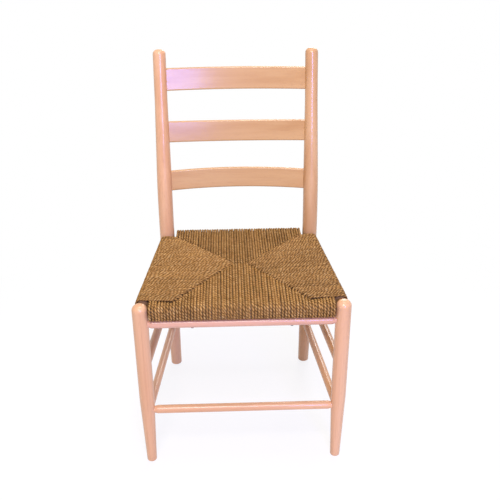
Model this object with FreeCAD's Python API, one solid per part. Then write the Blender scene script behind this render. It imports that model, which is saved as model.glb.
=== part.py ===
"""A ladderback dining chair: four turned posts, ten rungs, three bowed slats and a
woven cord seat that is made on its own frame and screwed down on two of the rungs.

X points to the viewer's right when the chair is seen from the front, Y points from the
front to the back and Z points up. Sizes are in millimetres. While the pieces are made,
Y = 0 lies halfway between the front and rear posts. At the end the whole chair moves
along Y, so that the origin is on the floor under the middle of its outline.
"""
import FreeCAD, Part
import math
import os

Vec = FreeCAD.Vector

# Overall sizes
overall_height = 908.0
seat_post_height = 445.0
front_post_spacing = 454.0
rear_post_spacing = 378.0
post_depth_spacing = 358.0

# Front posts
front_post_diameter = 35.0
front_foot_diameter = 23.0
front_foot_taper_height = 185.0
front_dome_radius = 14.5
front_taper_blend_radius = 700.0
foot_edge_radius = 3.0

# Rear posts: a raked leg below the seat, a steamed bend and a leaning back post
rear_leg_rake = 6.1
back_lean = 12.5
bend_radius = 670.0
bend_above_seat_posts = 37.0
rear_foot_diameter = 30.0
rear_leg_straight = 60.0
rear_seat_diameter = 38.0
rear_top_diameter = 32.0
rear_slim_below_top = 125.0
rear_dome_radius = 12.0
rear_taper_blend_radius = 500.0

# Rungs, with their heights at the posts' axes
rung_diameter = 20.0
tenon_diameter = 16.0
tenon_past_axis = 3.0
tenon_end_radius = 1.5
shoulder_taper_length = 7.0
shoulder_blend_radius = 12.0
front_lower_rung_height = 154.0
rear_lower_rung_height = 168.0
side_lower_rung_height = 144.0
side_upper_rung_height = 268.0
seat_rung_drop = 51.0
side_seat_rung_drop = 61.0

# Slats, graded from the top down; a bow's dip is the angle by which it drops towards the back
top_slat_height = 55.0
middle_slat_height = 53.0
bottom_slat_height = 51.0
top_slat_below_post_top = 72.8
middle_slat_below_top_slat = 125.9
bottom_slat_below_middle_slat = 122.8
slat_thickness = 8.5
slat_bow = 18.0
top_slat_bow_dip = 3.0
middle_slat_bow_dip = 11.0
bottom_slat_bow_dip = -9.0
slat_past_axis = 2.0
slat_edge_radius = 3.0

# Seat frame
rail_width = 24.0
rail_corner_radius = 8.0
front_rail_height = 29.0
rear_rail_height = 33.5
side_rail_height = 31.0
side_rail_inset = 3.8
corner_block_height = 23.0
corner_block_lift = 2.5
front_block_reach = 62.0
rear_block_reach = 50.0

# Cord seat
cord_thickness = 6.2
seat_crown_rise = 4.8
seat_sag = 3.5
bridge_width = 30.0
bridge_ahead_of_middle = 5.0
front_flat_mitre = 50.0
side_cord_over_front_rail = 5.0
rear_straight_edge = 16.0
front_post_to_cord = 5.5
rear_post_to_cord = 6.0
side_cord_to_post = 3.0

# Seat screws
screw_diameter = 4.0
screw_head_diameter = 8.5
screw_head_height = 3.0
screw_head_round = 1.4
screw_head_sink = 1.5
screw_spacing = 224.0
screw_grip_in_rail = 16.0
recess_width = 0.9
recess_span = 4.6
recess_depth = 1.3

# Fits and clearances
tenon_clearance = 0.15
tenon_end_clearance = 1.0
shoulder_clearance = 0.3
slat_clearance = 0.15
rest_clearance = 0.3
seam_clearance = 0.3
padding_clearance = 0.5
screw_hole_clearance = 0.3
screw_thread_clearance = 0.05

# Places worked out from the sizes above
front_x = front_post_spacing / 2
rear_x = rear_post_spacing / 2
front_y = -post_depth_spacing / 2
rear_y_at_seat = post_depth_spacing / 2
front_radius = front_post_diameter / 2
rear_radius = rear_seat_diameter / 2
rung_radius = rung_diameter / 2
tenon_radius = tenon_diameter / 2
rake = math.radians(rear_leg_rake)
lean = math.radians(back_lean)
bend_corner_z = seat_post_height + bend_above_seat_posts
bend_corner_y = rear_y_at_seat - bend_above_seat_posts * math.tan(rake)
bend_tangent = bend_radius * math.tan((rake + lean) / 2)
bend_start_z = bend_corner_z - bend_tangent * math.cos(rake)
bend_end_z = bend_corner_z + bend_tangent * math.cos(lean)
raked_shoulder = tenon_radius * math.tan(rake)
top_slat_z = overall_height - top_slat_below_post_top
middle_slat_z = top_slat_z - middle_slat_below_top_slat
bottom_slat_z = middle_slat_z - bottom_slat_below_middle_slat
slat_levels = {
    "top_slat": (top_slat_z, top_slat_height, top_slat_bow_dip),
    "middle_slat": (middle_slat_z, middle_slat_height, middle_slat_bow_dip),
    "bottom_slat": (bottom_slat_z, bottom_slat_height, bottom_slat_bow_dip),
}
seat_rung_z = seat_post_height - seat_rung_drop
side_seat_rung_z = seat_post_height - side_seat_rung_drop


# Helpers

def rounded_edges(points):
    """Edges along (x, z, corner radius) points in the XZ plane, each corner an arc."""
    places = [Vec(x, 0, z) for x, z, _ in points]
    edges = []
    last = places[0]
    for before, here, after, (_, _, radius) in zip(places, places[1:], places[2:], points[1:]):
        if radius == 0:
            edges.append(Part.makeLine(last, here))
            last = here
            continue
        arrive = (here - before).normalize()
        leave = (after - here).normalize()
        turn = arrive.getAngle(leave)
        tangent = radius * math.tan(turn / 2)
        start = here - arrive * tangent
        end = here + leave * tangent
        inward = (leave - arrive).normalize()
        middle = here + inward * (radius / math.cos(turn / 2) - radius)
        if (start - last).Length > 1e-6:
            edges.append(Part.makeLine(last, start))
        edges.append(Part.Arc(start, middle, end).toShape())
        last = end
    edges.append(Part.makeLine(last, places[-1]))
    return edges


def turned(points):
    """A solid turned about the Z axis from (radius, z, corner radius) points on one side."""
    edges = rounded_edges(points)
    edges.append(Part.makeLine(Vec(points[-1][0], 0, points[-1][1]), Vec(points[0][0], 0, points[0][1])))
    face = Part.Face(Part.Wire(edges))
    return face.revolve(Vec(0, 0, 0), Vec(0, 0, 1), 360)


def along(shape, start, direction):
    """Move a shape that was made along +Z so that it runs from start along direction."""
    turn = FreeCAD.Rotation(Vec(0, 0, 1), direction)
    shape.Placement = FreeCAD.Placement(start, turn)
    return shape


def mirrored(shape):
    """The same piece for the other side of the chair."""
    return shape.mirror(Vec(0, 0, 0), Vec(1, 0, 0))


def prism(corners, bottom, height):
    """An upright prism on (x, y) corners."""
    wire = Part.makePolygon([Vec(x, y, bottom) for x, y in corners + corners[:1]])
    return Part.Face(wire).extrude(Vec(0, 0, height))


def widened_prism(corners, margin, bottom, height):
    """An upright prism whose outline is larger all round by a margin."""
    wire = Part.makePolygon([Vec(x, y, bottom) for x, y in corners + corners[:1]])
    outline = wire.makeOffset2D(margin, 2)
    return Part.Face(outline).extrude(Vec(0, 0, height))


def single_solid(shape):
    """The one solid inside a result of cuts, so that the file holds just that."""
    assert len(shape.Solids) == 1, "a piece fell apart"
    return shape.Solids[0]


# Posts

def front_post_radius(z):
    """Radius of a front post at a height: the foot tapers, the rest is straight."""
    share = min(z / front_foot_taper_height, 1.0)
    return front_foot_diameter / 2 + share * (front_post_diameter - front_foot_diameter) / 2


def rear_leg_radius(z):
    """Radius of a rear post at a height: the leg tapers up to a straight length below the bend."""
    taper_top = bend_start_z - rear_leg_straight
    share = min(z / taper_top, 1.0)
    return rear_foot_diameter / 2 + share * (rear_seat_diameter - rear_foot_diameter) / 2


def rear_axis_y(z):
    """Y of a rear post's axis at a height, on the leg, in the bend or on the back post."""
    if z < bend_start_z:
        return rear_y_at_seat + (seat_post_height - z) * math.tan(rake)
    if z > bend_end_z:
        return bend_corner_y + (z - bend_corner_z) * math.tan(lean)
    start_y = bend_corner_y + bend_tangent * math.sin(rake)
    centre_y = start_y + bend_radius * math.cos(rake)
    centre_z = bend_start_z + bend_radius * math.sin(rake)
    return centre_y - math.sqrt(bend_radius ** 2 - (z - centre_z) ** 2)


def front_post():
    """The left front post, turned, with a tapered foot and a domed top."""
    post = turned([
        (0, 0, 0),
        (front_foot_diameter / 2, 0, foot_edge_radius),
        (front_radius, front_foot_taper_height, front_taper_blend_radius),
        (front_radius, seat_post_height, front_dome_radius),
        (0, seat_post_height, 0),
    ])
    post.Placement.Base = Vec(-front_x, front_y, 0)
    return post


def rear_post():
    """The left rear post: a tapered leg, the bend, and a back post that slims to its dome."""
    up_leg = Vec(0, -math.sin(rake), math.cos(rake))
    up_back = Vec(0, math.sin(lean), math.cos(lean))
    corner = Vec(-rear_x, bend_corner_y, bend_corner_z)
    bend_start = corner - up_leg * bend_tangent
    bend_end = corner + up_back * bend_tangent
    below_floor = rear_foot_diameter
    leg_length = bend_start_z / math.cos(rake)
    taper_length = leg_length - rear_leg_straight
    leg = turned([
        (0, -below_floor, 0),
        (rear_leg_radius(-below_floor), -below_floor, 0),
        (rear_radius, taper_length, rear_taper_blend_radius),
        (rear_radius, leg_length, 0),
        (0, leg_length, 0),
    ])
    along(leg, bend_start - up_leg * leg_length, up_leg)
    leg_circle = Part.Face(Part.Wire(Part.makeCircle(rear_radius, bend_start, up_leg)))
    bend_centre = bend_start + Vec(0, math.cos(rake), math.sin(rake)) * bend_radius
    bend = leg_circle.revolve(bend_centre, Vec(-1, 0, 0), math.degrees(rake + lean))
    top_radius = rear_top_diameter / 2
    dome_flat = top_radius - rear_dome_radius
    tip_above_axis = dome_flat * math.sin(lean) + rear_dome_radius * (1 - math.cos(lean))
    back_length = (overall_height - tip_above_axis - bend_end.z) / math.cos(lean)
    slim_length = back_length - rear_slim_below_top
    back = turned([
        (0, 0, 0),
        (rear_radius, 0, 0),
        (top_radius, slim_length, rear_taper_blend_radius),
        (top_radius, back_length, rear_dome_radius),
        (0, back_length, 0),
    ])
    along(back, bend_end, up_back)
    post = leg.fuse([bend, back]).removeSplitter()
    floor_block = Part.makeBox(4 * below_floor, 4 * below_floor, 2 * below_floor)
    foot_y = rear_axis_y(0)
    floor_block.Placement.Base = Vec(-rear_x - 2 * below_floor, foot_y - 2 * below_floor, -2 * below_floor)
    post = post.cut(floor_block)
    foot_edges = [edge for edge in post.Edges if edge.BoundBox.ZMax < 1e-3]
    return post.makeFillet(foot_edge_radius, foot_edges)


# Rungs

def rung(start, end, start_post_radius, end_post_radius):
    """A rung between two post axes, with a round tenon past each shoulder."""
    span = (end - start).Length
    first = start_post_radius + shoulder_clearance
    second = span - end_post_radius - shoulder_clearance
    shape = turned([
        (0, -tenon_past_axis, 0),
        (tenon_radius, -tenon_past_axis, tenon_end_radius),
        (tenon_radius, first, shoulder_blend_radius),
        (rung_radius, first + shoulder_taper_length, shoulder_blend_radius),
        (rung_radius, second - shoulder_taper_length, shoulder_blend_radius),
        (tenon_radius, second, shoulder_blend_radius),
        (tenon_radius, span + tenon_past_axis, tenon_end_radius),
        (0, span + tenon_past_axis, 0),
    ])
    return along(shape, start, end - start)


def bores(start, end):
    """The two round mortises of a rung, as solids to cut from the posts."""
    inward = (end - start).normalize()
    depth_past_axis = tenon_past_axis + tenon_end_clearance
    length = rear_seat_diameter + depth_past_axis
    radius = tenon_radius + tenon_clearance
    start_bore = Part.makeCylinder(radius, length, start - inward * depth_past_axis, inward)
    end_bore = Part.makeCylinder(radius, length, end + inward * depth_past_axis, inward * -1)
    return start_bore, end_bore


def front_point(side, z):
    """A point on a front post's axis; side is -1 on the left and 1 on the right."""
    return Vec(side * front_x, front_y, z)


def rear_point(side, z):
    """A point on a rear post's axis; side is -1 on the left and 1 on the right."""
    return Vec(side * rear_x, rear_axis_y(z), z)


# Slats

def slat(level, margin, end_margin, edge_radius):
    """A bowed slat across the rear posts' axes; margins make the block that cuts its mortises."""
    centre_z, plain_height, bow_dip = level
    half_span = rear_x + slat_past_axis + end_margin
    bow_radius = (rear_x ** 2 + slat_bow ** 2) / (2 * slat_bow)
    half_thickness = (slat_thickness / 2 + margin) / math.cos(lean - math.radians(bow_dip))
    height = plain_height + 2 * margin

    def bowed(radius, x):
        return slat_bow - bow_radius + math.sqrt(radius ** 2 - x ** 2)

    inner = bow_radius - half_thickness
    outer = bow_radius + half_thickness
    corners = [Vec(x, bowed(radius, half_span), 0)
               for x, radius in ((-half_span, inner), (half_span, inner),
                                 (half_span, outer), (-half_span, outer))]
    front_middle = Vec(0, bowed(inner, 0), 0)
    back_middle = Vec(0, bowed(outer, 0), 0)
    outline = Part.Wire([
        Part.Arc(corners[0], front_middle, corners[1]).toShape(),
        Part.makeLine(corners[1], corners[2]),
        Part.Arc(corners[2], back_middle, corners[3]).toShape(),
        Part.makeLine(corners[3], corners[0]),
    ])
    up_back = Vec(0, math.sin(lean), math.cos(lean))
    outline.rotate(Vec(0, 0, 0), Vec(1, 0, 0), -bow_dip)
    outline.translate(Vec(0, rear_axis_y(centre_z), centre_z) - up_back * (height / 2))
    body = Part.Face(outline).extrude(up_back * height)
    if edge_radius > 0:
        long_edges = [edge for edge in body.Edges if edge.Length > half_span]
        body = body.makeFillet(edge_radius, long_edges)
    return body


# Seat levels and the lines of its four rails

seat_bottom_z = seat_rung_z + rung_radius + rest_clearance
rail_bottom_z = seat_bottom_z + cord_thickness + rest_clearance
crown_top_z = rail_bottom_z + side_rail_height + rest_clearance + cord_thickness + seat_crown_rise
bridge_y = -bridge_ahead_of_middle
front_rail_y = front_y
rear_rail_y = rear_axis_y(seat_rung_z)
side_slant = math.atan2(front_x - rear_x, rear_rail_y - front_rail_y)
front_cord_end = front_x - front_radius - front_post_to_cord
rear_cord_end = rear_x - rear_radius - rear_post_to_cord
side_front_end = front_y + front_radius + side_cord_to_post
side_rear_end = rear_rail_y - rear_radius - side_cord_to_post
front_rail_inner_y = front_rail_y + rail_width / 2
rear_rail_inner_y = rear_rail_y - rail_width / 2
block_bottom_z = rail_bottom_z + corner_block_lift
screw_head_top_z = seat_rung_z - rung_radius + screw_head_sink


def side_axis_x(y):
    """Distance from the middle of the seat to a side rail's centre line at one Y."""
    return front_x - side_rail_inset - (y - front_rail_y) * math.tan(side_slant)


def side_inner_x(y):
    """Distance from the middle of the seat to a side rail's inner face at one Y."""
    return side_axis_x(y) - rail_width / 2 / math.cos(side_slant)


def rail_frame(name):
    """Placement of a rail: local X along it, local Y towards the middle of the seat."""
    middle_y = (side_front_end + side_rear_end) / 2
    slant = math.degrees(side_slant)
    places = {
        "front": (Vec(0, front_rail_y, 0), 0),
        "rear": (Vec(0, rear_rail_y, 0), 180),
        "left": (Vec(-side_axis_x(middle_y), middle_y, 0), -90 - slant),
        "right": (Vec(side_axis_x(middle_y), middle_y, 0), 90 + slant),
    }
    base, angle = places[name]
    return FreeCAD.Placement(base, FreeCAD.Rotation(Vec(0, 0, 1), angle))


rail_heights = {
    "front": front_rail_height,
    "rear": rear_rail_height,
    "left": side_rail_height,
    "right": side_rail_height,
}
side_rail_length = (side_rear_end - side_front_end) / math.cos(side_slant)
rail_lengths = {
    "front": 2 * front_cord_end - 2 * seam_clearance,
    "rear": 2 * rear_cord_end - 2 * seam_clearance,
    "left": side_rail_length,
    "right": side_rail_length,
}
rail_to_crown = {
    "front": bridge_y - front_rail_y,
    "rear": rear_rail_y - bridge_y,
    "left": side_axis_x(bridge_y) - bridge_width / 2,
    "right": side_axis_x(bridge_y) - bridge_width / 2,
}


def rail(name):
    """One wooden rail of the seat frame, with its long edges rounded for the cord."""
    length = rail_lengths[name]
    height = rail_heights[name]
    body = Part.makeBox(length, rail_width, height, Vec(-length / 2, -rail_width / 2, rail_bottom_z))
    long_edges = [edge for edge in body.Edges if edge.Length > length - 1]
    body = body.makeFillet(rail_corner_radius, long_edges)
    body.Placement = rail_frame(name)
    return body


def layer_heights(name, depth):
    """Heights of the seat over one rail and at the crown, a depth below the cord's outside."""
    outer_top = rail_bottom_z + rail_heights[name] + rest_clearance + cord_thickness
    return outer_top - depth, crown_top_z - depth, seat_bottom_z + depth, seat_bottom_z - seat_sag + depth


def crown_arc(start, end):
    """A shallow arc from the rail to the crown: level at the crown, as a parabola would be."""
    half_way_share = 3 / 4
    middle = Vec(0, (start.y + end.y) / 2, start.z + half_way_share * (end.z - start.z))
    return Part.Arc(start, middle, end).toShape()


def roll_edges(name, depth):
    """The outside of one rail's wrap in the local YZ plane, from the crown round to the sag."""
    over, crown, under, sag = layer_heights(name, depth)
    reach = rail_width / 2 + rest_clearance + cord_thickness - depth
    corner = rail_corner_radius + rest_clearance + cord_thickness - depth
    inner = rail_width / 2
    far = rail_to_crown[name]
    corners = [(inner, over, 0), (-reach, over, corner), (-reach, under, corner), (inner, under, 0)]
    roll = rounded_edges(corners)
    for edge in roll:
        edge.rotate(Vec(0, 0, 0), Vec(0, 0, 1), 90)
    top = crown_arc(Vec(0, inner, over), Vec(0, far, crown))
    bottom = crown_arc(Vec(0, inner, under), Vec(0, far, sag))
    return [top] + roll + [bottom]


def wrap(name):
    """The cord layer over, round and under one rail, before its mitres are cut."""
    outside = roll_edges(name, 0)
    inside = roll_edges(name, cord_thickness)
    far = rail_to_crown[name]
    _, crown, _, sag = layer_heights(name, 0)
    caps = [
        Part.makeLine(Vec(0, far, crown), Vec(0, far, crown - cord_thickness)),
        Part.makeLine(Vec(0, far, sag), Vec(0, far, sag + cord_thickness)),
    ]
    outline = Part.Wire(Part.__sortEdges__(outside + inside + caps))
    length = 2 * front_post_spacing
    body = Part.Face(outline).extrude(Vec(length, 0, 0))
    body.translate(Vec(-length / 2, 0, 0))
    body.Placement = rail_frame(name).multiply(body.Placement)
    return body


# Plan outlines of the cord panels

plan_margin = 2 * rail_width
plan_bottom = seat_bottom_z - plan_margin
plan_height = crown_top_z + plan_margin - plan_bottom
half_bridge = bridge_width / 2
front_seam_y = front_rail_inner_y - side_cord_over_front_rail
front_panel_outline = [
    (-front_cord_end, front_rail_y - plan_margin),
    (front_cord_end, front_rail_y - plan_margin),
    (front_cord_end, front_seam_y),
    (front_cord_end - front_flat_mitre, front_seam_y),
    (half_bridge, bridge_y),
    (-half_bridge, bridge_y),
    (-front_cord_end + front_flat_mitre, front_seam_y),
    (-front_cord_end, front_seam_y),
]
rear_panel_outline = [
    (half_bridge, bridge_y + seam_clearance),
    (rear_cord_end, rear_rail_inner_y - rear_straight_edge),
    (rear_cord_end, rear_rail_y + plan_margin),
    (-rear_cord_end, rear_rail_y + plan_margin),
    (-rear_cord_end, rear_rail_inner_y - rear_straight_edge),
    (-half_bridge, bridge_y + seam_clearance),
]


def side_outline():
    """Plan of the right side panel, before the front and rear panels are cut from it."""
    outside = front_x + plan_margin
    return [
        (half_bridge + seam_clearance, front_seam_y),
        (front_cord_end, front_seam_y),
        (front_cord_end, side_front_end),
        (outside, side_front_end),
        (outside, side_rear_end),
        (half_bridge + seam_clearance, side_rear_end),
    ]


def cord_panels():
    """The four cord panels, which meet along the mitre lines."""
    front_plan = prism(front_panel_outline, plan_bottom, plan_height)
    rear_plan = prism(rear_panel_outline, plan_bottom, plan_height)
    side_plan = prism(side_outline(), plan_bottom, plan_height)
    side_panel = wrap("right").common(side_plan)
    for outline in (front_panel_outline, rear_panel_outline):
        side_panel = side_panel.cut(widened_prism(outline, seam_clearance, plan_bottom, plan_height))
    panels = {"front": wrap("front").common(front_plan), "rear": wrap("rear").common(rear_plan)}
    panels["right"] = side_panel
    panels["left"] = mirrored(side_panel)
    return {name: single_solid(panel) for name, panel in panels.items()}


def corner_blocks():
    """The right front and right rear corner blocks that join the rails past the posts."""
    front_outline = [
        (front_cord_end - front_block_reach, front_rail_inner_y),
        (front_cord_end - 2 * seam_clearance, front_rail_inner_y),
        (side_inner_x(side_front_end), side_front_end),
        (side_inner_x(side_front_end + front_block_reach), side_front_end + front_block_reach),
    ]
    rear_outline = [
        (rear_cord_end - rear_block_reach, rear_rail_inner_y),
        (side_inner_x(side_rear_end - rear_block_reach), side_rear_end - rear_block_reach),
        (side_inner_x(side_rear_end), side_rear_end),
        (rear_cord_end - 2 * seam_clearance, rear_rail_inner_y),
    ]
    outlines = {"front": front_outline, "rear": rear_outline}
    return {name: prism(outline, block_bottom_z, corner_block_height) for name, outline in outlines.items()}


def padding_zone(name):
    """The space between the cord layers, seen from one rail, with plain slopes to the crown."""
    over, crown, under, sag = layer_heights(name, cord_thickness + padding_clearance)
    inner = rail_width / 2 + padding_clearance
    far = rail_to_crown[name]
    across = front_post_spacing + rear_rail_y - front_rail_y
    corners = [(inner, over), (far, crown), (across, crown), (across, sag), (far, sag), (inner, under)]
    length = 3 * front_post_spacing
    outline = Part.makePolygon([Vec(-length / 2, y, z) for y, z in corners + corners[:1]])
    body = Part.Face(outline).extrude(Vec(length, 0, 0))
    body.Placement = rail_frame(name)
    return body


def seat_padding():
    """The stuffing between the cord layers, inside the rails and the corner blocks."""
    front_block_end = side_front_end + front_block_reach
    rear_block_end = side_rear_end - rear_block_reach
    right_side = [
        (front_cord_end - front_block_reach, front_rail_inner_y),
        (side_inner_x(front_block_end), front_block_end),
        (side_inner_x(rear_block_end), rear_block_end),
        (rear_cord_end - rear_block_reach, rear_rail_inner_y),
    ]
    left_side = [(-x, y) for x, y in reversed(right_side)]
    body = widened_prism(right_side + left_side, -padding_clearance, plan_bottom, plan_height)
    for name in rail_heights:
        body = body.common(padding_zone(name))
    return single_solid(body)


# Seat screws

screw_places = [(side * screw_spacing / 2, y) for y in (front_rail_y, rear_rail_y) for side in (-1, 1)]
screw_tip_z = rail_bottom_z + screw_grip_in_rail
screw_length = screw_tip_z - screw_head_top_z


def seat_screw(x, y):
    """A pan head screw that hangs below a seat rung and grips the rail above."""
    head_radius = screw_head_diameter / 2
    shank_radius = screw_diameter / 2
    body = turned([
        (0, -screw_head_height, 0),
        (head_radius, -screw_head_height, screw_head_round),
        (head_radius, 0, 0),
        (shank_radius, 0, 0),
        (shank_radius, screw_length - screw_diameter, 0),
        (0, screw_length, 0),
    ])
    for angle in (0, 90):
        slot = Part.makeBox(recess_span, recess_width, recess_depth)
        slot.translate(Vec(-recess_span / 2, -recess_width / 2, -screw_head_height))
        slot.rotate(Vec(0, 0, 0), Vec(0, 0, 1), angle)
        body = body.cut(slot)
    body.translate(Vec(x, y, screw_head_top_z))
    return single_solid(body)


def screw_hole(x, y, clearance):
    """The round hole that one screw passes through, as a solid to cut."""
    radius = screw_diameter / 2 + clearance
    length = screw_length + tenon_end_clearance
    return Part.makeCylinder(radius, length, Vec(x, y, screw_head_top_z))


def head_pocket(x, y):
    """The shallow pocket under a seat rung that takes a screw's head, as a solid to cut."""
    radius = screw_head_diameter / 2 + screw_hole_clearance
    bottom = screw_head_top_z - screw_head_height
    return Part.makeCylinder(radius, screw_head_height, Vec(x, y, bottom))


# Assembly

def build():
    """Every piece of the chair by its node name."""
    pieces = {}
    side_levels = {
        "lower": side_lower_rung_height,
        "upper": side_upper_rung_height,
        "seat": side_seat_rung_z,
    }
    front_levels = {"lower": front_lower_rung_height, "seat": seat_rung_z}
    rear_levels = {"lower": rear_lower_rung_height, "seat": seat_rung_z}

    left_front_post = front_post()
    left_rear_post = rear_post()
    side_bores = []
    for level, z in side_levels.items():
        start = front_point(-1, z)
        end = rear_point(-1, z)
        body = rung(start, end, front_post_radius(z), rear_leg_radius(z) + raked_shoulder)
        front_bore, rear_bore = bores(start, end)
        left_front_post = left_front_post.cut(front_bore)
        left_rear_post = left_rear_post.cut(rear_bore)
        side_bores += [front_bore, rear_bore, mirrored(front_bore), mirrored(rear_bore)]
        pieces["left_" + level + "_rung"] = body
        pieces["right_" + level + "_rung"] = mirrored(body)

    for level, z in front_levels.items():
        start = front_point(-1, z)
        end = front_point(1, z)
        radius = front_post_radius(z)
        left_front_post = left_front_post.cut(bores(start, end)[0])
        pieces["front_" + level + "_rung"] = rung(start, end, radius, radius).cut(side_bores)

    for level, z in rear_levels.items():
        start = rear_point(-1, z)
        end = rear_point(1, z)
        radius = rear_leg_radius(z)
        left_rear_post = left_rear_post.cut(bores(start, end)[0])
        pieces["rear_" + level + "_rung"] = rung(start, end, radius, radius).cut(side_bores)

    for name, level in slat_levels.items():
        pieces[name] = slat(level, 0, 0, slat_edge_radius)
        left_rear_post = left_rear_post.cut(slat(level, slat_clearance, tenon_end_clearance, 0))

    pieces["left_front_post"] = left_front_post
    pieces["right_front_post"] = mirrored(left_front_post)
    pieces["left_rear_post"] = left_rear_post
    pieces["right_rear_post"] = mirrored(left_rear_post)

    panels = cord_panels()
    for name in ("front", "rear", "left", "right"):
        pieces[name + "_rail"] = rail(name)
        pieces[name + "_cord_panel"] = panels[name]
    blocks = corner_blocks()
    for name in ("front", "rear"):
        pieces["right_" + name + "_corner_block"] = blocks[name]
        pieces["left_" + name + "_corner_block"] = mirrored(blocks[name])
    pieces["seat_padding"] = seat_padding()

    for x, y in screw_places:
        end_name = "front" if y < 0 else "rear"
        passing = screw_hole(x, y, screw_hole_clearance)
        gripping = screw_hole(x, y, screw_thread_clearance)
        for name in (end_name + "_seat_rung", end_name + "_cord_panel"):
            pieces[name] = pieces[name].cut(passing)
        pieces[end_name + "_seat_rung"] = pieces[end_name + "_seat_rung"].cut(head_pocket(x, y))
        pieces[end_name + "_rail"] = pieces[end_name + "_rail"].cut(gripping)
    pieces = {name: single_solid(shape) for name, shape in pieces.items()}
    pieces["seat_screws"] = Part.Compound([seat_screw(x, y) for x, y in screw_places])
    return pieces


def move_to_origin(pieces):
    """Move the chair along Y so that the origin lies under the middle of its outline."""
    box = Part.Compound(list(pieces.values())).optimalBoundingBox(True, False)
    shift = Vec(0, -(box.YMin + box.YMax) / 2, 0)
    for shape in pieces.values():
        shape.translate(shift)
    return shift, box


chair = build()
shift, outline_box = move_to_origin(chair)
os.makedirs("parts", exist_ok=True)
for node, shape in chair.items():
    assert shape.isValid(), node
    shape.exportStep("parts/" + node + ".step")
print("moved along Y by", round(shift.y, 3))
print("width, depth, height:", round(outline_box.XLength, 2), round(outline_box.YLength, 2),
      round(outline_box.ZLength, 2))
for node, shape in chair.items():
    print(node, len(shape.Solids), "solid,", round(shape.Volume / 1000, 2), "cubic centimetres")
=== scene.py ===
# %% [markdown]
# # A ladderback chair with a woven cord seat
#
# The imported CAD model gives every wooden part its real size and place. What it can't give is
# the look: the pale satin wood and a seat that is woven from hundreds of turns of twisted
# cord. This file adds those. A scene could also start from an empty file and model the
# posts again, but then two models would have to agree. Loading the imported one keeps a
# single set of sizes, and everything made here is placed from it.

import math

import bpy
import numpy as np
from mathutils import Matrix


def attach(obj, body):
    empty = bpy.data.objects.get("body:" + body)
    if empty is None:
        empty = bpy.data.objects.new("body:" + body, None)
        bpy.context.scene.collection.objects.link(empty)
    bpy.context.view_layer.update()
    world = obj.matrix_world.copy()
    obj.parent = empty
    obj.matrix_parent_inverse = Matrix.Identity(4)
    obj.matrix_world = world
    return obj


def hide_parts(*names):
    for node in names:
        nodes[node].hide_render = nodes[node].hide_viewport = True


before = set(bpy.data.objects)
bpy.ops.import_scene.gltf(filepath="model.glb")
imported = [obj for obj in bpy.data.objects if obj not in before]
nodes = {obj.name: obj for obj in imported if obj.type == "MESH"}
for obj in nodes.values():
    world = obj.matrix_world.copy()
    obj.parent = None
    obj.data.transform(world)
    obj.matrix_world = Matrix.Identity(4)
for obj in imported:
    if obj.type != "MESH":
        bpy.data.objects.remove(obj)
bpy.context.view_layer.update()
print("nodes in the chair:", len(nodes))

# %% [markdown]
# ## The camera
#
# The photograph was taken from a little above the seat, with the chair almost square to the
# lens. A camera could be placed by eye, but then edges would be off by many pixels. The
# place and angles here were solved from about forty edges of the posts, rungs and slats, so
# that the render lies over the photograph. The long lens keeps the posts nearly parallel.

# %% Camera
camera_place = (-0.0262, -1.58752, 1.269)
camera_yaw = 0.03259
camera_pitch = 0.4702
camera_roll = -0.00563
focal_length_in_pixels = 720.0
picture_width_in_pixels = 500.0
sensor_width = 36.0


def camera_turn(yaw, pitch, roll):
    """Three columns for a camera: its right, its up and its back.

    Forward is level north turned by yaw about the upright axis and tipped down by pitch.
    Roll then turns right and up about forward.
    """
    forward = np.array([np.sin(yaw) * np.cos(pitch), np.cos(yaw) * np.cos(pitch), -np.sin(pitch)])
    level_right = np.array([np.cos(yaw), -np.sin(yaw), 0.0])
    level_up = np.cross(level_right, forward)
    right = np.cos(roll) * level_right + np.sin(roll) * level_up
    up = np.cos(roll) * level_up - np.sin(roll) * level_right
    return np.stack([right, up, -forward], axis=1)


def stand(thing, columns, place):
    """Put an object at a place, with its own X, Y and Z along three columns."""
    placement = np.eye(4)
    placement[:3, :3] = columns
    placement[:3, 3] = place
    thing.matrix_world = Matrix(placement.tolist())


lens = bpy.data.cameras.new("camera")
lens.sensor_width = sensor_width
lens.lens = focal_length_in_pixels * sensor_width / picture_width_in_pixels
lens.clip_end = 60.0
camera = bpy.data.objects.new("camera", lens)
bpy.context.scene.collection.objects.link(camera)
stand(camera, camera_turn(camera_yaw, camera_pitch, camera_roll), camera_place)
bpy.context.scene.camera = camera
bpy.context.scene.view_settings.view_transform = "Standard"
print("lens of", round(lens.lens, 2), "mm")

# %% [markdown]
# ## Shader maths as expressions
#
# A finish is a graph of nodes. The graph could be wired by hand in the editor, or with
# dozens of lines that add one node and one link each. Here a small class wraps a socket
# instead, so that an expression such as 1 - mask adds the Math nodes that it needs, and a
# material reads like the formula that it is.

# %% A socket that can be added and multiplied
def connect(tree, value, socket):
    """Link a wrapped socket to an input, or write a plain value on that input."""
    if isinstance(value, Shade):
        tree.links.new(value.socket, socket)
    else:
        socket.default_value = value


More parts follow.
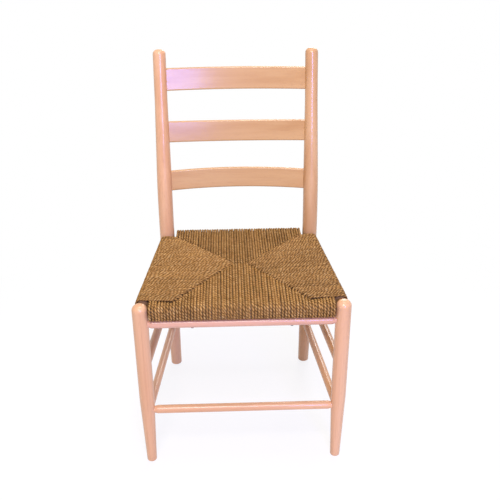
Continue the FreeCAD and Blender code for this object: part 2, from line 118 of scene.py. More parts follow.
class Shade:
    """One output socket of a node tree, with arithmetic that adds Math nodes."""

    def __init__(self, tree, socket):
        self.tree = tree
        self.socket = socket

    def maths(self, operation, *others):
        """A Math node on this value and up to two others."""
        node = self.tree.nodes.new("ShaderNodeMath")
        node.operation = operation
        for place, value in enumerate((self, *others)):
            connect(self.tree, value, node.inputs[place])
        return Shade(self.tree, node.outputs[0])

    def __add__(self, other):
        return self.maths("ADD", other)

    def __mul__(self, other):
        return self.maths("MULTIPLY", other)

    def __sub__(self, other):
        return self.maths("SUBTRACT", other)

    def __rsub__(self, other):
        return self.maths("MULTIPLY_ADD", -1.0, other)

    def __pow__(self, other):
        return self.maths("POWER", other)

    __radd__ = __add__
    __rmul__ = __mul__

    def ramp(self, low, high):
        """0 up to low, 1 from high on, and a smooth rise between them."""
        node = self.tree.nodes.new("ShaderNodeMapRange")
        node.interpolation_type = "SMOOTHSTEP"
        connect(self.tree, self, node.inputs["Value"])
        node.inputs["From Min"].default_value = low
        node.inputs["From Max"].default_value = high
        return Shade(self.tree, node.outputs["Result"])


print("shader values can be added, multiplied and ramped")

# %% A finish under construction
def paint(red, green, blue):
    """A colour as Blender wants it, from the 0 to 255 values that a picture shows.

    Each share s is (s + 0.055) / 1.055 to the power 2.4, the usual screen curve.
    """
    shares = np.array([red, green, blue]) / 255.0
    linear = np.where(shares <= 0.04045, shares / 12.92, ((shares + 0.055) / 1.055) ** 2.4)
    return (*linear.tolist(), 1.0)


class Finish:
    """A material, with one method that adds any node."""

    def __init__(self, name):
        self.material = bpy.data.materials.new(name)
        self.material.use_nodes = True
        self.tree = self.material.node_tree
        self.shader = self.tree.nodes["Principled BSDF"]

    def make(self, kind, settings=None, sockets=None, output=0):
        """Add a node: its settings first, then the values or links of its sockets."""
        node = self.tree.nodes.new(kind)
        for name, value in (settings or {}).items():
            setattr(node, name, value)
        for name, value in (sockets or {}).items():
            connect(self.tree, value, node.inputs[name])
        return Shade(self.tree, node.outputs[output])

    def mix(self, first, second, share):
        """A colour between two colours."""
        return self.make("ShaderNodeMix", {"data_type": "RGBA"}, {0: share, 6: first, 7: second}, 2)

    def noise(self, place, scale, detail=3.0, roughness=0.5):
        """Soft noise from 0 to 1 on a place."""
        sockets = {"Vector": place, "Scale": scale, "Detail": detail, "Roughness": roughness}
        return self.make("ShaderNodeTexNoise", {}, sockets, "Fac")

    def bump(self, height, strength, distance):
        """A surface direction that tips with a height."""
        sockets = {"Height": height, "Strength": strength, "Distance": distance}
        return self.make("ShaderNodeBump", {}, sockets, "Normal")

    def surface(self, **sockets):
        """Set the shader's own sockets; an underscore stands for a space."""
        for name, value in sockets.items():
            connect(self.tree, value, self.shader.inputs[name.replace("_", " ")])
        return self.material


print("a finish can be built")

# %% [markdown]
# ## Pale hardwood under satin lacquer
#
# On the real chair the posts, rungs and slats are one pale, close-grained hardwood under a
# clear satin lacquer. Its grain runs along each part, so it shows as long soft streaks, with
# short darker flecks. One material for all the parts would be quick, but the grain would
# then cross the rungs. A picture of wood would show its edges. Here each part gets its own
# finish from one function: noise that is stretched along the part, and a seed of its own. The
# slats also have a tint of their own, and the front seat rung and the right rear post are
# painted darker than the rest, as shade.

# %% Chair wood
light_wood = np.array([225, 172, 126])
middle_wood = np.array([211, 154, 108])
dark_wood = (166, 108, 66)
slat_tint = (-30, -25, -36)
# Painted shade: the front seat rung and the right rear post are darker than the other parts.
painted_shade_tints = {"front_seat_rung": (-14, -16, -4), "right_rear_post": (-18, -14, -18)}
tint_spread = (-3.0, 6.0)
tint_per_colour = [1.0, 1.1, 1.3]
grain_axes = {"post": 2, "slat": 0, "front_lower_rung": 0, "front_seat_rung": 0,
              "rear_lower_rung": 0, "rear_seat_rung": 0, "rung": 1}
# How fine each kind of grain is, per metre: across the part, and along it.
band_fineness = (38.0, 1.6)
streak_fineness = (260.0, 5.0)
pore_fineness = (900.0, 45.0)
grain_steps = (1.37, 2.11, 0.73)


def chair_wood(name, grain_axis, seed, tint):
    """Satin hardwood, with its grain along axis 0, 1 or 2 and a tint of its own, which for two parts
    also holds painted shade.
    """
    finish = Finish(name)
    place = finish.make("ShaderNodeTexCoord", output="Object")
    shift = tuple(seed * step % 5 for step in grain_steps)

    def stretched(across, along):
        """The place on this part's own grain, much finer across it than along it."""
        scale = [across, across, across]
        scale[grain_axis] = along
        return finish.make("ShaderNodeMapping", {}, {"Vector": place, "Location": shift, "Scale": scale})

    bands = finish.noise(stretched(*band_fineness), 1.0, 2.0, 0.5)
    streaks = finish.noise(stretched(*streak_fineness), 1.0, 4.0, 0.6)
    pores = finish.noise(stretched(*pore_fineness), 1.0, 2.0, 0.5)
    flecks = pores.ramp(0.62, 0.74)
    light = paint(*(light_wood + tint))
    middle = paint(*(middle_wood + tint))
    dark = paint(*dark_wood)
    colour = finish.mix(light, middle, bands.ramp(0.3, 0.72))
    colour = finish.mix(colour, dark, streaks.ramp(0.45, 0.85) * 0.3)
    colour = finish.mix(colour, dark, flecks * 0.28)
    height = streaks * 0.6 + pores * 0.4
    return finish.surface(
        Base_Color=colour,
        Roughness=0.42 + streaks * 0.12,
        Specular_IOR_Level=0.3,
        Normal=finish.bump(height, 0.12, 0.0004),
        Coat_Weight=0.6,
        Coat_Roughness=0.16,
    )


wood_nodes = [name for name in sorted(nodes) if name.endswith(("_post", "_slat", "_rung"))]
tints = np.random.default_rng(4).uniform(*tint_spread, (len(wood_nodes), 1)) * tint_per_colour
for seed, (name, tint) in enumerate(zip(wood_nodes, tints)):
    # The slats get their own tint; the front seat rung and the right rear post get painted shade.
    own_tint_or_painted_shade = slat_tint if name.endswith("_slat") else painted_shade_tints.get(name, (0, 0, 0))
    axis = next(axis for ending, axis in grain_axes.items() if name.endswith(ending))
    nodes[name].data.materials.clear()
    nodes[name].data.materials.append(chair_wood("wood_of_" + name, axis, seed + 1, tint + own_tint_or_painted_shade))
print("parts in chair wood:", len(wood_nodes))

# %% [markdown]
# ## The seat's lines
#
# The seat is made on its own frame of four rails. Each cord goes over a rail, round it and
# back underneath, and the four fields of cord meet along diagonal lines, as on an envelope.
# The lines could be read from the CAD solids, but they are few, so they are written here in
# metres, as the CAD source has them. The chair was moved forward along Y by one distance
# after it was drawn, and the same move is made here. Cords can do what plain layers can't, so
# four lines differ a little: the front field is 3 mm wider at both ends and runs on under the
# first side cord, the side fields start 2.2 mm nearer the front posts, and the cords of two
# fields pass under each other where they meet.

# %% Sizes of the seat
chair_moved_along_y = -0.04252

# The cord, and the heights of its upper and lower layers.
cord_thickness = 0.0062
cord_depth = cord_thickness / 2
front_cord_top = 0.4463
rear_cord_top = 0.4508
side_cord_top = 0.4483
crown_top = 0.4531
under_seat = 0.4043
sagging = 0.4008

# The rails and the posts beside them, seen from above.
rest_gap = 0.0003
rail_half_width = 0.012
rail_corner = 0.008
front_rail_y = -0.179
rear_rail_y = 0.184787
front_post_x = 0.227
rear_post_x = 0.189
side_rail_front_x = 0.2232
side_slant = math.atan2(front_post_x - rear_post_x, rear_rail_y - front_rail_y)

# Where each field ends along its rail, and the corners of the lines between the fields. The
# bridge is the short line in the middle of the seat, from which the four others go out.
front_cord_end = 0.207
rear_cord_end = 0.164
side_front_end = -0.1585
side_rear_end = 0.162787
front_stretch = 0.0022
flat_start = 0.154
corner_seam_y = -0.158
front_seam_y = -0.172
rear_seam_y = 0.156787
bridge_y = -0.005
half_bridge = 0.015

# How a cord's end dips between its neighbours and runs on beneath the next field.
tuck_length = 0.0055
tuck_depth = 0.0085
seam_overlap = 0.0014


def side_rail_x(y):
    """Distance from the seat's middle to the middle line of a side rail at one Y."""
    return side_rail_front_x - (y - front_rail_y) * math.tan(side_slant)


side_middle_y = (side_front_end + side_rear_end) / 2
side_middle_x = side_rail_x(side_middle_y)
side_crown = side_rail_x(bridge_y) - half_bridge
print("the sides slant by", round(math.degrees(side_slant), 2), "degrees")

# %% Four fields of cord
def field(base, turn, cord_top, crown_reach, seam, ends, count):
    """One field: its rail's place and direction, its top, its seam and its number of cords.

    Along the rail and inwards from it are (cos, sin) of the turn, and that turned by 90 degrees.
    The widening is each cord's share of the rail over the cord's own thickness.
    """
    along = np.array([math.cos(turn), math.sin(turn)])
    inward = np.array([-math.sin(turn), math.cos(turn)])
    seam_points = np.array(seam) - np.array(base)
    seam_along = seam_points @ along
    order = np.argsort(seam_along)
    return {
        "base": np.array(base), "along": along, "inward": inward,
        "cord_top": cord_top, "crown_reach": crown_reach,
        "seam_along": seam_along[order], "seam_inward": (seam_points @ inward)[order],
        "outer_ends": ends, "count": count,
        "widening": (ends[1] - ends[0]) / count / cord_thickness,
    }


side_reach = (side_rear_end - side_front_end) / 2 / math.cos(side_slant)
right_seam = [(flat_start, front_seam_y), (half_bridge, bridge_y), (rear_cord_end, rear_seam_y)]
left_seam = [(-x, y) for x, y in right_seam]
front_seam = [(-front_cord_end, corner_seam_y), (-flat_start, front_seam_y), (-half_bridge, bridge_y),
              (half_bridge, bridge_y), (flat_start, front_seam_y), (front_cord_end, corner_seam_y)]
rear_seam = [(-rear_cord_end, rear_seam_y), (-half_bridge, bridge_y),
             (half_bridge, bridge_y), (rear_cord_end, rear_seam_y)]
cord_counts = {"front": 62, "rear": 50, "side": 45}
fields = {
    "front": field((0.0, front_rail_y), 0.0, front_cord_top, bridge_y - front_rail_y,
                   front_seam, (-front_cord_end, front_cord_end), cord_counts["front"]),
    "rear": field((0.0, rear_rail_y), math.pi, rear_cord_top, rear_rail_y - bridge_y,
                  rear_seam, (-rear_cord_end, rear_cord_end), cord_counts["rear"]),
    "right": field((side_middle_x, side_middle_y), math.pi / 2 + side_slant, side_cord_top, side_crown,
                   right_seam, (-side_reach - front_stretch, side_reach), cord_counts["side"]),
    "left": field((-side_middle_x, side_middle_y), -math.pi / 2 - side_slant, side_cord_top, side_crown,
                  left_seam, (-side_reach, side_reach + front_stretch), cord_counts["side"]),
}
for name, side in fields.items():
    pitch = side["widening"] * cord_thickness
    print(name, "has", side["count"], "cords, one every", round(1000 * pitch, 2), "mm")

# %% [markdown]
# ## One cord's line
#
# Seen from the end of its rail, a cord starts at the diagonal, comes down from the middle
# of the seat, rounds the rail, and goes back along the underside to the same diagonal. At
# both ends it turns down or up between its neighbours and goes on inside the seat. A curve
# object could follow this, but its twist would be hard to steer, so the line is worked out
# as points and then spaced evenly by length.

# %% The line of a cord in its own upright plane
tuck_shares = np.array([0.0, 0.15, 0.38, 0.70])
drop_shares = np.array([1.0, 0.57, 0.27, 0.08])
top_points = 40
round_points = 9
fewest_rings = 8


def cord_line(side, reach, lift, step):
    """Distances inwards and heights of a cord's middle, spaced evenly by its length.

    With t from 0 at the rail's inner edge to 1 at the crown, the top is higher than cord_top by
    rise * (2t - t^2), and the underside is lower by fall in the same way. Round the rail the
    line is two quarter circles. The ends are tuck_length long and dip by tuck_depth.
    """
    over = side["cord_top"] - cord_depth + lift
    under = under_seat + cord_depth
    corner = rail_corner + rest_gap + cord_depth
    outside = -(rail_half_width + rest_gap + cord_depth)
    rise = crown_top - side["cord_top"]
    fall = under_seat - sagging
    span = side["crown_reach"] - rail_half_width
    reach = reach + seam_overlap
    top = np.linspace(reach - tuck_length, outside + corner, top_points)
    inwards = np.concatenate([reach - tuck_length * tuck_shares, top])
    share = np.clip((inwards - rail_half_width) / span, 0.0, 1.0)
    swell = 2 * share - share ** 2
    sink = np.concatenate([tuck_depth * drop_shares, np.zeros(len(top))])
    angle = np.linspace(np.pi / 2, np.pi, round_points)[1:]
    round_in = outside + corner + corner * np.cos(angle)
    round_up = corner * np.sin(angle) - corner
    line_in = np.concatenate([inwards, round_in, round_in[::-1], inwards[::-1]])
    line_up = np.concatenate([
        over + rise * swell - sink,
        over + round_up,
        under - round_up[::-1],
        (under - fall * swell + sink)[::-1],
    ])
    lengths = np.concatenate([[0.0], np.cumsum(np.hypot(np.diff(line_in), np.diff(line_up)))])
    places = np.linspace(0.0, lengths[-1], max(fewest_rings, int(lengths[-1] / step)))
    return np.interp(places, lengths, line_in), np.interp(places, lengths, line_up), places


longest = cord_line(fields["front"], fields["front"]["crown_reach"], 0.0, cord_depth)[2][-1]
print("the longest front cord takes", round(1000 * longest), "mm")

# %% [markdown]
# ## Twisted cord
#
# The cord is two plies of twisted paper. Its outline at any point is two rounded lobes with
# a crease between them, and the lobes turn once round in about sixteen millimetres. A bump
# map on a round tube would be cheaper, but it stays smooth against the light, where cord
# shows its humps. So each tube's rings are lobed and turn as they go, and the corners of a
# ring stay on their ply, which keeps the creases clean.

# %% A field of twisted cord as arrays
ring_sides = 12
ring_step = 0.0022
twist_length = 0.016
ring_angles = np.arange(ring_sides) * 2 * np.pi / ring_sides
thinnest_share = 0.75
lobe_power = 0.9
lobes = thinnest_share + (1.0 - thinnest_share) * np.abs(np.cos(ring_angles)) ** lobe_power

# Five quads that close a ring of twelve corners.
lid = np.array([[0, 1, 2, 11], [2, 3, 10, 11], [3, 4, 9, 10], [4, 5, 8, 9], [5, 6, 7, 8]])

# How much the cords differ: in place and height, in metres, then in twist and thickness. Rates
# are those of slow waves along the cord, in radians per metre.
place_spread = 0.0003
usual_lift = -0.00025
lift_spread = 0.00022
lowest_lift = -0.0008
wander_width = 0.00025
wander_rate = 55
twist_shares = (0.82, 1.18)
uneven_turns = 0.22
uneven_rates = (25, 60)
swell_share = 0.03
swell_rate = 90


def closed_tubes(rings_per_cord):
    """Quads between rings and over both ends of each tube, as corner numbers, with (ring, side)."""
    side_numbers = np.arange(ring_sides)
    starts = np.concatenate([[0], np.cumsum(rings_per_cord)])[:-1]
    ring_numbers = np.concatenate([start + np.arange(count - 1)
                                   for start, count in zip(starts, rings_per_cord)])
    ring, number = np.meshgrid(ring_numbers, side_numbers, indexing="ij")
    ring, number = ring.ravel(), number.ravel()
    after = (number + 1) % ring_sides
    walls = np.stack([ring * ring_sides + number, (ring + 1) * ring_sides + number,
                      (ring + 1) * ring_sides + after, ring * ring_sides + after], axis=1)
    first = starts[:, None, None] * ring_sides + lid
    last = (starts + np.array(rings_per_cord) - 1)[:, None, None] * ring_sides + lid[:, ::-1]
    return walls, first.reshape(-1, 4), last.reshape(-1, 4), ring, number


def twisted_cord(side, outer_place, inner_place, reach, lift, shade, random):
    """Corners, lengths and painted side shade of one cord's rings; its shade sets the phase of each
    wave.

    A ring's radius at angle a from its ply is t + (1 - t) |cos a|^lobe_power of the cord's, with
    t the thinnest share, widened sideways to the cord's share of the rail. The ply's own angle
    is 2 pi s / own_twist, where s is the distance along, plus a slow wave.
    """
    inwards, heights, lengths = cord_line(side, reach, lift, ring_step)
    ease = np.clip((inwards + rail_half_width) / (reach + rail_half_width), 0.0, 1.0)
    wander = np.sin(lengths * wander_rate + shade * 40) * np.sin(np.pi * lengths / lengths[-1])
    along = outer_place + (inner_place - outer_place) * ease + wander_width * wander
    run_in = np.gradient(inwards)
    run_up = np.gradient(heights)
    run = np.hypot(run_in, run_up)
    out_in, out_up = run_up / run, -run_in / run
    uneven = uneven_turns * np.sin(lengths * random.uniform(*uneven_rates) + shade * 50)
    own_twist = twist_length * random.uniform(*twist_shares)
    turn = 2 * np.pi * (lengths / own_twist + 7 * shade + uneven)
    swell_wave = np.sin(lengths * swell_rate + shade * 60)
    swell = cord_depth * (1.0 - swell_share / 2 + swell_share * swell_wave)
    angles = ring_angles[None, :] + turn[:, None]
    outwards = swell[:, None] * lobes * np.cos(angles)
    sideways = swell[:, None] * lobes * np.sin(angles) * side["widening"]
    local_along = along[:, None] + sideways
    local_in = inwards[:, None] + outwards * out_in[:, None]
    local_up = heights[:, None] + outwards * out_up[:, None]
    flat = side["base"] + local_along[..., None] * side["along"] + local_in[..., None] * side["inward"]
    corners = np.concatenate([flat, local_up[..., None]], axis=2).reshape(-1, 3)
    # Painted shade: 0 where a corner faces out of the seat, up to 1 on the cord's sides and inner face.
    painted_side_shades = (1.0 - np.clip(np.cos(angles), 0.0, 1.0)).ravel()
    return corners, lengths, painted_side_shades


def twisted_field(side, seed):
    """Corners, rings per cord, each ring's length and shade, and each corner's painted side shade, for
    one field.
    """
    random = np.random.default_rng(seed)
    count = side["count"]
    outer = np.linspace(*side["outer_ends"], count + 1)
    outer = (outer[1:] + outer[:-1]) / 2
    inner = np.linspace(side["seam_along"][0], side["seam_along"][-1], count + 1)
    inner = (inner[1:] + inner[:-1]) / 2
    outer = outer + random.normal(0.0, place_spread, count)
    inner = inner + random.normal(0.0, place_spread, count)
    reaches = np.interp(inner, side["seam_along"], side["seam_inward"])
    lifts = np.clip(random.normal(usual_lift, lift_spread, count), lowest_lift, 0.0)
    shades = random.uniform(0.0, 1.0, count)
    cords = [twisted_cord(side, *cord, random) for cord in zip(outer, inner, reaches, lifts, shades)]
    corners, lengths, painted_side_shades = zip(*cords)
    rings_per_cord = [len(places) for places in lengths]
    points = np.concatenate(corners)
    points[:, 1] += chair_moved_along_y
    ring_shades = np.repeat(shades, rings_per_cord)
    return points, rings_per_cord, np.concatenate(lengths), ring_shades, np.concatenate(painted_side_shades)


def cord_mesh(name, side, seed):
    """An object with all the cords of one field, a UV map round and along them, each cord's shade, and
    painted shade on the cords' sides.
    """
    points, rings_per_cord, lengths, shades, painted_side_shades = twisted_field(side, seed)
    walls, first, last, ring, number = closed_tubes(rings_per_cord)
    faces = np.concatenate([walls, first, last])
    mesh = bpy.data.meshes.new(name)
    mesh.from_pydata(points, [], faces)
    around = np.stack([number, number, number + 1, number + 1], axis=1) / ring_sides
    onward = np.stack([lengths[ring], lengths[ring + 1], lengths[ring + 1], lengths[ring]], axis=1)
    places = np.stack([around, onward], axis=2).reshape(-1, 2)
    lid_places = np.zeros((4 * (len(first) + len(last)), 2))
    # The lids take a place round the cord where the creases lie, so they get the full painted shade of
    # the creases.
    lid_places[:, 0] = 0.25
    layer = mesh.uv_layers.new(name="round_and_along")
    layer.data.foreach_set("uv", np.concatenate([places, lid_places]).astype(np.float32).ravel())
    shade = mesh.attributes.new("cord_shade", "FLOAT", "POINT")
    shade.data.foreach_set("value", np.repeat(shades, ring_sides).astype(np.float32))
    # A second attribute holds painted shade on the sides and inner face of each cord.
    painted_side_shade = mesh.attributes.new("cord_painted_side_shade", "FLOAT", "POINT")
    painted_side_shade.data.foreach_set("value", painted_side_shades.astype(np.float32))
    mesh.shade_smooth()
    piece = bpy.data.objects.new(name, mesh)
    bpy.context.scene.collection.objects.link(piece)
    return piece


print("each ring has", ring_sides, "corners, and a ring stands every", ring_step * 1000, "mm")

# %% [markdown]
# ## The cord's colour
#
# Twisted paper cord is a matt golden brown that no two turns share exactly. Its colour also
# holds painted shade: it is darker on the sides and inner face of each cord, away from the
# seat's surface, and in the creases between the plies, so the tops of the plies read paler.
# One even brown with a bump would be simpler, but the eye takes a seat for woven by its uneven
# tone. The fibres and the light and dark stretches have to follow the cord round its rail, so
# they read the UV map, whose first number goes round the cord and whose second is the
# distance along it. Only the wide patches of wear lie across many cords, by their place on
# the seat. The rear and right fields have painted shade too: all their colours are darker.

# %% Cord finish
cord_colours = np.array([[246, 204, 140], [226, 173, 101], [180, 121, 60], [66, 38, 13]])
# Each field's tone darkens its colours; the lower tones of the rear and right fields are painted shade.
tones_with_painted_shade = {"front": 0.94, "rear": 0.86, "right": 0.86, "left": 0.9}
stretch_share = 0.34
patch_share = 0.18
# Shares of painted shade: in the creases between the plies, and on the sides of the cords.
painted_crease_share = 0.74
painted_side_shade_share = 0.47


def seat_cord(name, tone):
    """Twisted paper: fibres along the plies, painted shade in the creases and on the sides, and a shade
    for each cord.

    A tone below 1 makes all four of its colours darker; the lower tones of the rear and right fields are
    painted shade.
    """
    finish = Finish(name)
    bright, light, middle, dark = [paint(*(colour * tone)) for colour in cord_colours]
    uv = finish.make("ShaderNodeUVMap", {"uv_map": "round_and_along"}, output="UV")
    shade = finish.make("ShaderNodeAttribute", {"attribute_name": "cord_shade"}, output="Fac")
    painted_side_shade = finish.make("ShaderNodeAttribute", {"attribute_name": "cord_painted_side_shade"}, output="Fac")
    around = finish.make("ShaderNodeSeparateXYZ", {}, {0: uv}, 0)
    onward = finish.make("ShaderNodeSeparateXYZ", {}, {0: uv}, 1)
    place = finish.make("ShaderNodeTexCoord", output="Object")
    fibre_place = finish.make("ShaderNodeCombineXYZ", {}, {
        0: around * 22.0, 1: onward * 160.0, 2: shade * 40.0})
    fibres = finish.noise(fibre_place, 1.0, 4.0, 0.65)
    patches = finish.noise(place, 16.0, 2.0, 0.5)
    stretch_place = finish.make("ShaderNodeCombineXYZ", {}, {
        0: around * 3.0, 1: onward * 105.0, 2: shade * 90.0})
    stretches = finish.noise(stretch_place, 1.0, 2.0, 0.5)
    # Painted shade in the two creases between the plies.
    turn = around * (4 * math.pi)
    painted_crease_shade = (0.5 - turn.maths("COSINE") * 0.5) ** 2.0
    colour = finish.mix(middle, light, fibres.ramp(0.28, 0.68))
    colour = finish.mix(colour, dark, shade.ramp(0.3, 1.0) * 0.2)
    colour = finish.mix(colour, dark, stretches.ramp(0.5, 0.64) * stretch_share)
    colour = finish.mix(colour, bright, (1.0 - stretches).ramp(0.52, 0.66) * stretch_share)
    colour = finish.mix(colour, dark, patches.ramp(0.4, 0.8) * patch_share)
    colour = finish.mix(colour, dark, painted_crease_shade * painted_crease_share)
    # Painted shade on the sides and inner face of each cord.
    colour = finish.mix(colour, dark, painted_side_shade.ramp(0.2, 0.95) * painted_side_shade_share)
    return finish.surface(
        Base_Color=colour,
        Roughness=0.55 + fibres * 0.2,
        Specular_IOR_Level=0.06,
        Normal=finish.bump(fibres, 0.35, 0.0003),
    )


for seed, (name, side) in enumerate(fields.items()):
    piece = cord_mesh(name + "_cords", side, 20 + seed)
    piece.data.materials.append(seat_cord("cord_of_the_" + name, tones_with_painted_shade[name]))
    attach(piece, "root")
    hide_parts(name + "_cord_panel")
    print(piece.name, "has", 2 * len(piece.data.polygons), "triangles")

# %% [markdown]
# ## Stuffing between the layers
#
# The upper and the lower cords of such a seat are kept apart by folded card or paper that is
# pushed in from below as the weaving goes on. It makes the seat crown. Hardly any of it is
# seen, at most a brown patch between two cords, so a cloth simulation would be wasted on it.
# It is one closed cushion shape: a height above and below a middle surface, both falling to
# nothing at the rim, inside the slopes of the two cord layers.

# %% The padding
rim_share = 0.985
cord_to_stuffing = 0.0012
fold_height = 0.0005
# Brown card, darker than fresh card: partly its own colour, partly painted shade where it shows between
# cords.
card_with_painted_shade = ((118, 88, 58), (88, 62, 38), (142, 110, 76))
rim = np.array([(0.1415, -0.1658), (0.2012, -0.0965), (0.1795, 0.1125), (0.1136, 0.1716)])
rim = np.concatenate([rim, (rim * [-1, 1])[::-1]])
print("the padding's rim has", len(rim), "corners")


def padding_surface(turns, rings):
    """Upper and lower heights on a grid of rays from the middle to the rim.

    Each half is the slope's height times (1 - r^8)^(1/2), where r goes from 0 at the middle
    to 1 at the rim, so that the edge is round and the rest lies along the cords. Shallow waves
    stand for the folds.
    """
    closed = np.concatenate([rim, rim[:1]])
    steps = np.hypot(*np.diff(closed, axis=0).T)
    share = np.concatenate([[0.0], np.cumsum(steps)]) / steps.sum()
    ray = np.linspace(0.0, 1.0, turns, endpoint=False)
    edge = np.stack([np.interp(ray, share, closed[:, axis]) for axis in (0, 1)], axis=1)
    r = np.sin(np.linspace(0.0, np.pi / 2, rings))[1:]
    middle = np.array([0.0, bridge_y])
    plan = middle + (edge[None] - middle) * r[:, None, None] * rim_share
    upper, lower = [], []
    for side in fields.values():
        local = plan - side["base"]
        inwards = local @ side["inward"]
        past_rail = (inwards - rail_half_width) / (side["crown_reach"] - rail_half_width)
        slope = np.clip(past_rail, 0.0, 1.0)
        gap = cord_thickness + cord_to_stuffing
        upper.append(side["cord_top"] - gap + (crown_top - side["cord_top"]) * slope)
        lower.append(under_seat + gap - (under_seat - sagging) * slope)
    top = np.min(upper, axis=0)
    bottom = np.max(lower, axis=0)
    centre = (top + bottom) / 2
    half = (top - bottom) / 2 * np.sqrt(1 - r ** 8)[:, None]
    folds = np.sin(plan[..., 0] * 70 + 2 * np.sin(plan[..., 1] * 45)) * (1 - r ** 4)[:, None]
    thinner = fold_height * (1 - folds)
    return plan, centre + half - thinner, centre - half + thinner


def padding_mesh(name, turns, rings):
    """The padding as one closed mesh: a pole above, rings out to the rim and back, a pole below."""
    plan, top, bottom = padding_surface(turns, rings)
    above = np.concatenate([plan, top[..., None]], axis=2)
    below = np.concatenate([plan, bottom[..., None]], axis=2)[::-1][1:]
    layers = np.concatenate([above, below]).reshape(-1, 3)
    poles = np.array([[0.0, bridge_y, grid[:, 2].mean()] for grid in (above[0], below[-1])])
    points = np.concatenate([layers, poles])
    points[:, 1] += chair_moved_along_y
    count = len(above) + len(below)
    ring, ray = np.meshgrid(np.arange(count - 1), np.arange(turns), indexing="ij")
    ring, ray = ring.ravel(), ray.ravel()
    after = (ray + 1) % turns
    quads = np.stack([ring * turns + ray, (ring + 1) * turns + ray,
                      (ring + 1) * turns + after, ring * turns + after], axis=1)
    rays = np.arange(turns)
    following = (rays + 1) % turns
    last = (count - 1) * turns
    cap = np.stack([np.full(turns, len(layers)), rays, following], axis=1)
    base = np.stack([np.full(turns, len(layers) + 1), last + following, last + rays], axis=1)
    mesh = bpy.data.meshes.new(name)
    mesh.from_pydata(points, [], quads.tolist() + cap.tolist() + base.tolist())
    mesh.shade_smooth()
    piece = bpy.data.objects.new(name, mesh)
    bpy.context.scene.collection.objects.link(piece)
    return piece


def card_stuffing(name):
    """Folded brown card, kept dark as painted shade between the cords: flat fibres, and thin darker
    lines where layers end.
    """
    finish = Finish(name)
    place = finish.make("ShaderNodeTexCoord", output="Object")
    layers = finish.make("ShaderNodeMapping", {}, {"Vector": place, "Scale": (20.0, 20.0, 900.0)})
    edges = finish.noise(layers, 1.0, 2.0, 0.5)
    fibres = finish.noise(place, 700.0, 3.0, 0.6)
    face, edge, fibre = [paint(*colour) for colour in card_with_painted_shade]
    colour = finish.mix(face, edge, edges.ramp(0.35, 0.7))
    colour = finish.mix(colour, fibre, fibres.ramp(0.5, 0.8) * 0.4)
    return finish.surface(Base_Color=colour, Roughness=0.85, Normal=finish.bump(edges, 0.4, 0.0006))


padding = padding_mesh("seat_stuffing", turns=160, rings=24)
padding.data.materials.append(card_stuffing("brown_card"))
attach(padding, "root")
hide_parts("seat_padding")
print("the stuffing has", len(padding.data.polygons), "faces")

# %% [markdown]
# ## Seat frame and screws
#
# The rails and corner blocks are softwood under the cord, and only their ends show, beside
# the posts. Four pan head screws hold the seat down from below. All of these could be
# modelled again with worn edges, but so little is seen that they keep their CAD shapes. The
# wood is bare and coarser than the chair's, and it is painted a darker brown than fresh
# softwood, as shade where it shows. The screws are zinc that has gone dull in blotches.

# %% Bare softwood and dull zinc
# Darker than fresh softwood: painted shade where the rails show beside the posts and between the cords.
softwood_with_painted_shade = ((136, 101, 66), (106, 76, 47), (60, 40, 24))
zinc_colours = ((126, 122, 118), (78, 72, 66))
softwood_fineness = (90.0, 3.0)


def frame_softwood(name, grain_axis):
    """Bare softwood, painted darker brown as shade, with wide growth bands along one axis."""
    finish = Finish(name)
    place = finish.make("ShaderNodeTexCoord", output="Object")
    across, along = softwood_fineness
    scale = [across, across, across]
    scale[grain_axis] = along
    grain = finish.make("ShaderNodeMapping", {}, {"Vector": place, "Scale": scale})
    bands = finish.noise(grain, 1.0, 3.0, 0.55)
    fuzz = finish.noise(grain, 9.0, 2.0, 0.6)
    light, middle, dark = [paint(*colour) for colour in softwood_with_painted_shade]
    colour = finish.mix(light, middle, bands.ramp(0.4, 0.66))
    colour = finish.mix(colour, dark, fuzz.ramp(0.5, 0.85) * 0.35)
    return finish.surface(Base_Color=colour, Roughness=0.75, Normal=finish.bump(fuzz, 0.3, 0.0004))


def dull_zinc(name):
    """Zinc plate gone grey: blotches of roughness and a few darker stains."""
    finish = Finish(name)
    place = finish.make("ShaderNodeTexCoord", output="Object")
    blotches = finish.noise(place, 500.0, 4.0, 0.6)
    light, dark = [paint(*colour) for colour in zinc_colours]
    colour = finish.mix(light, dark, blotches.ramp(0.35, 0.75))
    return finish.surface(Base_Color=colour, Metallic=1.0, Roughness=0.35 + blotches * 0.3)


softwood_across = frame_softwood("frame_softwood_across", 0)
softwood_along = frame_softwood("frame_softwood_along", 1)
for name in sorted(nodes):
    if name.endswith(("_rail", "_corner_block")):
        lies_along = name in ("left_rail", "right_rail")
        nodes[name].data.materials.clear()
        nodes[name].data.materials.append(softwood_along if lies_along else softwood_across)
nodes["seat_screws"].data.materials.clear()
nodes["seat_screws"].data.materials.append(dull_zinc("dull_zinc"))
print("frame and screws have their finishes")

# %% [markdown]
# ## Floor, background and light
#
# The photograph is a plain studio shot: a white ground with hardly any shadow and soft light
# from the camera's side. Lighting the floor until it is white would burn out the wood. So the
# floor is a pale matt surface near the chair, which keeps the chair's shadow, and it turns
# to plain white further away, but only for rays that show it. For rays that light the chair
# it is light grey, so that the seat's lower edge stays in shade.

# %% Floor
floor_in_light = (222, 217, 220)
floor_in_picture = (252, 246, 251)
white_near_chair = 0.8
white_grows_over = (0.3, 1.1)
half_floor = 8.0


def seen_rays(tree):
    """1 for rays that show a surface in the picture, in gloss or through glass."""
    path = tree.nodes.new("ShaderNodeLightPath")
    kinds = ("Is Camera Ray", "Is Glossy Ray", "Is Transmission Ray")
    camera_ray, glossy_ray, through_ray = [Shade(tree, path.outputs[kind]) for kind in kinds]
    return camera_ray.maths("MAXIMUM", glossy_ray).maths("MAXIMUM", through_ray)


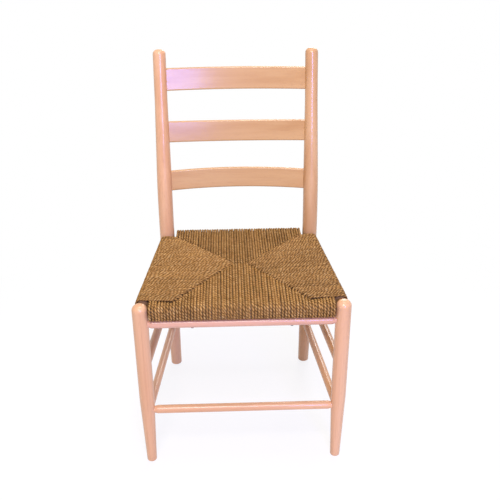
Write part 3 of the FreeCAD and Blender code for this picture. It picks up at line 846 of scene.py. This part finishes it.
def pale_floor(name):
    """Matt near-white under the chair that fades to plain white for the rays that show it."""
    finish = Finish(name)
    seen = seen_rays(finish.tree)
    colour = finish.mix(paint(*floor_in_light), paint(*floor_in_picture), seen)
    finish.surface(Base_Color=colour, Roughness=0.9)
    place = finish.make("ShaderNodeTexCoord", output="Object")
    distance = finish.make("ShaderNodeVectorMath", {"operation": "LENGTH"}, {0: place}, "Value")
    white = finish.make("ShaderNodeEmission", {}, {"Color": (1.0, 1.0, 1.0, 1.0), "Strength": 1.0})
    far = distance.ramp(*white_grows_over)
    share = (far * (1.0 - white_near_chair) + white_near_chair) * seen
    plain = Shade(finish.tree, finish.shader.outputs[0])
    result = finish.make("ShaderNodeMixShader", {}, {0: share, 1: plain, 2: white})
    connect(finish.tree, result, finish.tree.nodes["Material Output"].inputs["Surface"])
    return finish.material


floor_mesh = bpy.data.meshes.new("floor")
floor_corners = [(x * half_floor, y * half_floor, 0) for x, y in ((-1, -1), (1, -1), (1, 1), (-1, 1))]
floor_mesh.from_pydata(floor_corners, [], [(0, 1, 2, 3)])
floor_mesh.materials.append(pale_floor("pale_floor"))
floor = bpy.data.objects.new("floor", floor_mesh)
bpy.context.scene.collection.objects.link(floor)
print("floor of", 2 * half_floor, "m")

# %% Background and lights
world = bpy.data.worlds.new("studio")
world.use_nodes = True
bpy.context.scene.world = world
ambient = 0.42
tree = world.node_tree
background = tree.nodes["Background"]
background.inputs["Color"].default_value = (1.0, 1.0, 1.0, 1.0)
connect(tree, seen_rays(tree) * (1.0 - ambient) + ambient, background.inputs["Strength"])


def soft_lamp(name, place, target, size, power, colour):
    """A square lamp at a place, facing a target, with its size in metres and power in watts.

    Its Z axis, the side away from the light, points from the target to the place.
    """
    light = bpy.data.lights.new(name, "AREA")
    light.size = size
    light.energy = power
    light.color = colour
    lamp = bpy.data.objects.new(name, light)
    bpy.context.scene.collection.objects.link(lamp)
    back = np.array(place) - np.array(target)
    back = back / np.linalg.norm(back)
    right = np.cross([0.0, 0.0, 1.0], back)
    right = right / np.linalg.norm(right)
    up = np.cross(back, right)
    stand(lamp, np.stack([right, up, back], axis=1), place)
    return lamp


soft_lamp("key", (-0.2, -2.3, 2.9), (0.0, 0.0, 0.45), 1.2, 76.0, (1.0, 0.97, 0.96))
soft_lamp("top", (0.2, 0.2, 3.2), (0.0, 0.0, 0.3), 1.4, 31.0, (1.0, 0.98, 0.98))
soft_lamp("behind", (0.7, 2.9, 1.9), (0.0, 0.0, 0.5), 1.2, 34.0, (1.0, 0.98, 0.96))
# The window's light only adds the bluish gloss that the photograph has on two slats.
window = soft_lamp("window", (0.72, -2.7, 1.53), (-0.1, 0.2, 0.8), 0.8, 66.0, (0.22, 0.28, 0.9))
window.data.diffuse_factor = 0.0
print("four soft lamps and a white background")
